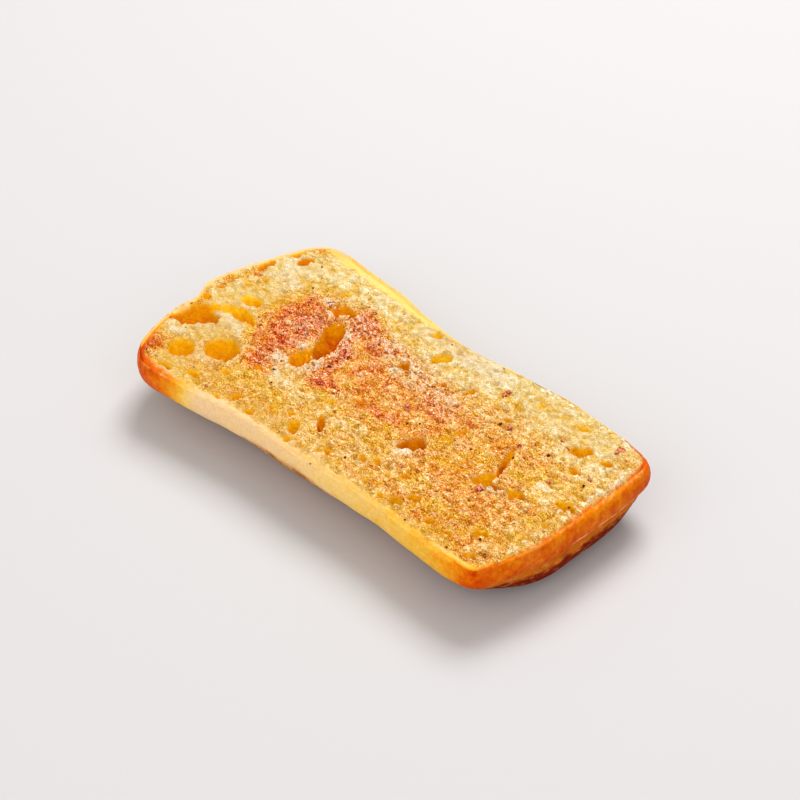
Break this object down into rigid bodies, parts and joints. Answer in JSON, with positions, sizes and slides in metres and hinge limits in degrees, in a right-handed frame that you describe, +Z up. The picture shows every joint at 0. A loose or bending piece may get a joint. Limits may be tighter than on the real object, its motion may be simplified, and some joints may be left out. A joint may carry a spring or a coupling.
{
  "type": "garlic bread",
  "caption": "Long half of a ciabatta roll, split flat, buttered and toasted, with an open-holed crumb face on top of a low crust.",
  "frame": {"origin": "under the middle of the footprint, on the plane that the bread rests on", "axes": "+X along the roll towards its squarer end, +Y across it towards the side that faces away in the picture, +Z up out of the cut face"},
  "size_m": [0.2006, 0.1055, 0.026],
  "materials": {
    "toasted_crumb": "toasted golden crumb with a thin gloss of butter"
  },
  "bodies": {
    "root": {"garlic_bread": "toasted_crumb"}
  },
  "joints": []
}
